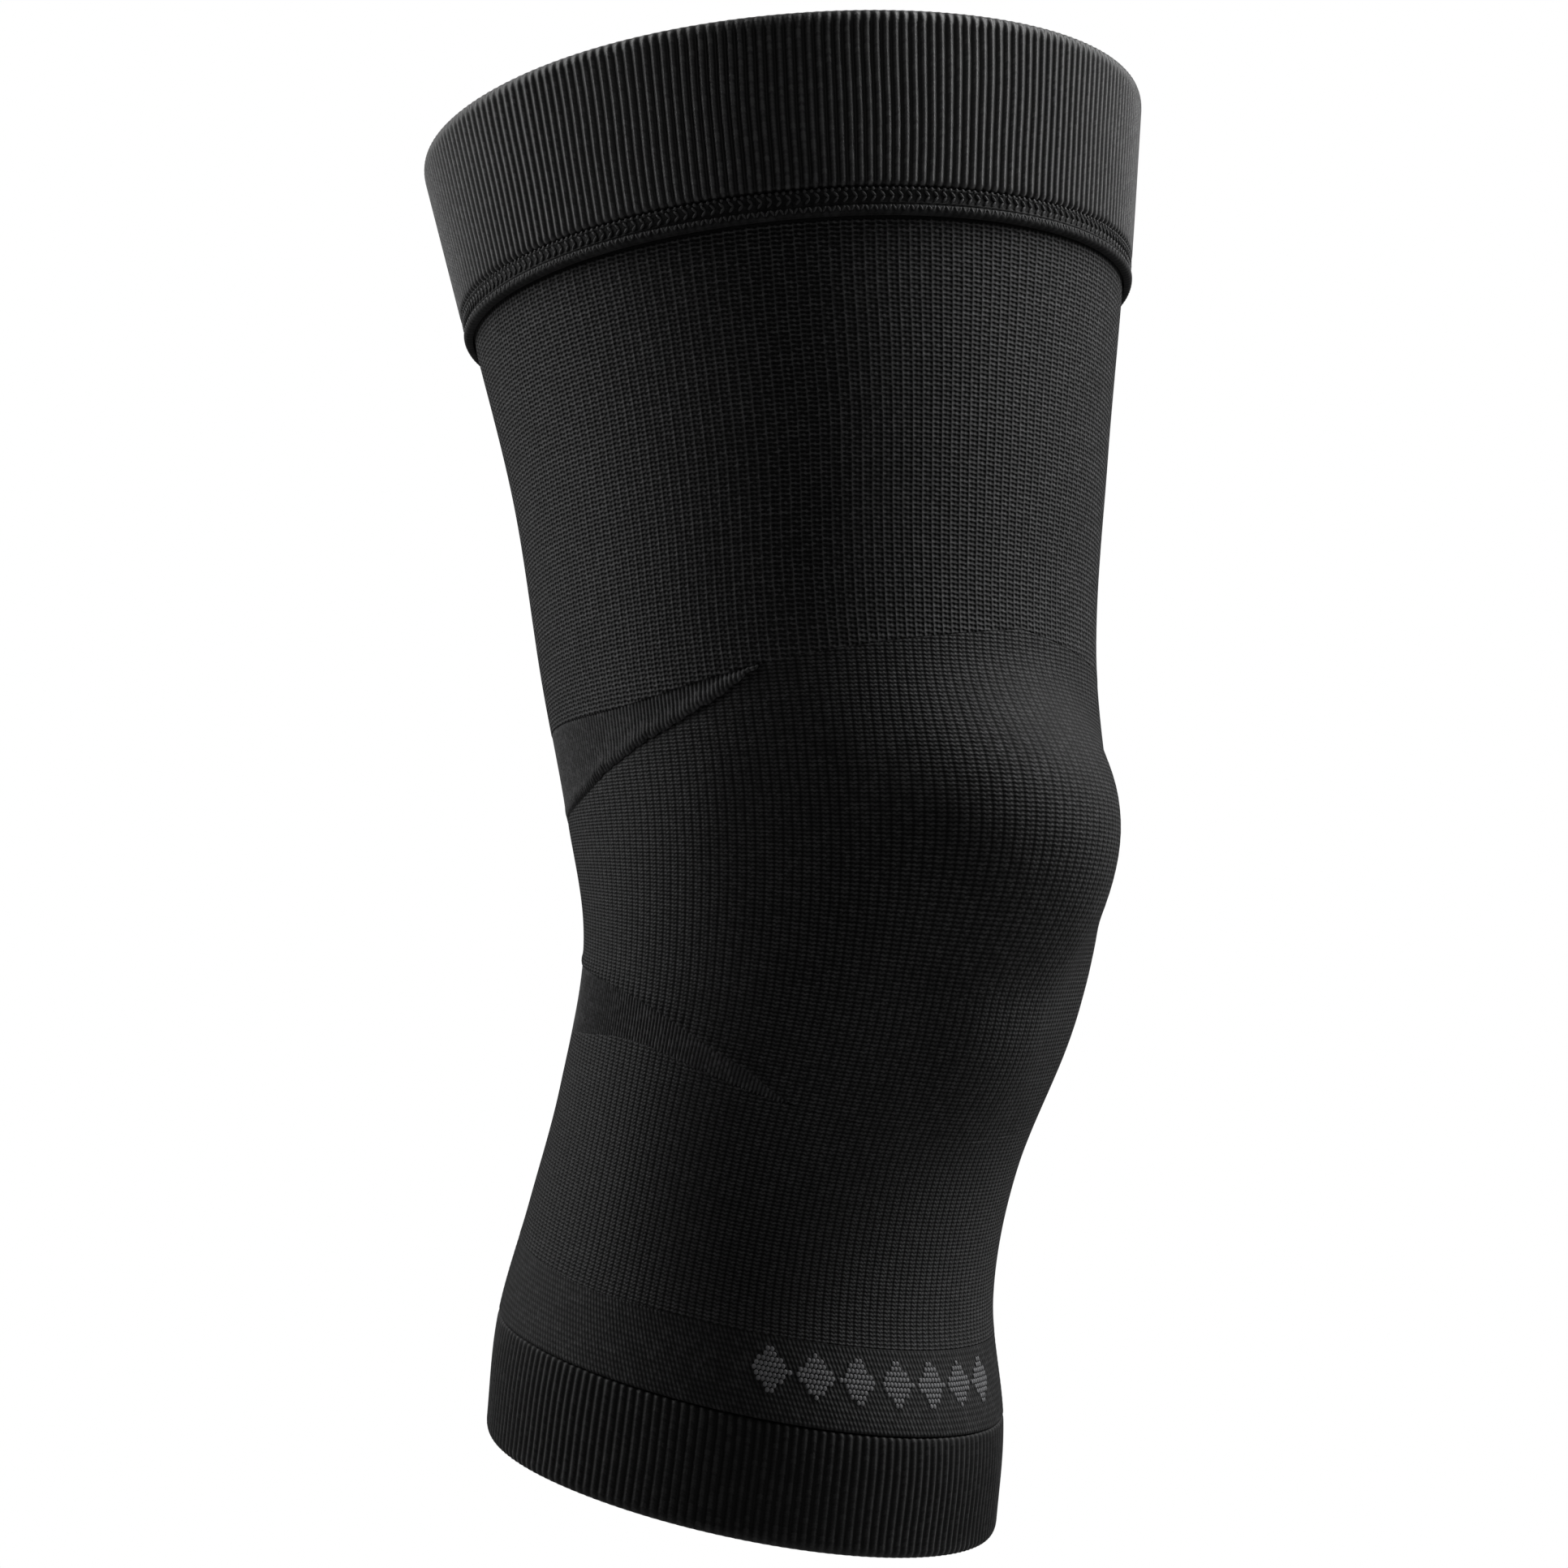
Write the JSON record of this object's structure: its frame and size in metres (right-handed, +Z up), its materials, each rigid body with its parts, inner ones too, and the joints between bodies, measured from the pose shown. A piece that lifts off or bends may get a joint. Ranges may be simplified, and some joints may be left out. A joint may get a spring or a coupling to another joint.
{
  "type": "knee sleeve",
  "caption": "Knitted knee sleeve in its worn form on a slightly bent knee, with a folded ribbed thigh cuff, a shaped knee panel and a ribbed calf cuff.",
  "frame": {"origin": "centre of the knee, in the hollow, at the height of the kneecap's middle, where the leg fills the sleeve", "axes": "+Z up the leg towards the thigh cuff, -Y forward through the kneecap, +X to the right seen from the front"},
  "size_m": [0.1444, 0.1532, 0.2947],
  "materials": {
    "body_knit": "fine black compression knit",
    "cuff_rib": "black rib knit, folded double",
    "seam_stitch": "black overlocked stitching",
    "calf_rib": "black fine rib knit, folded double"
  },
  "bodies": {
    "root": {"sleeve_body": "body_knit", "thigh_cuff": "cuff_rib", "seam_strip": "seam_stitch", "calf_cuff": "calf_rib"}
  },
  "joints": []
}
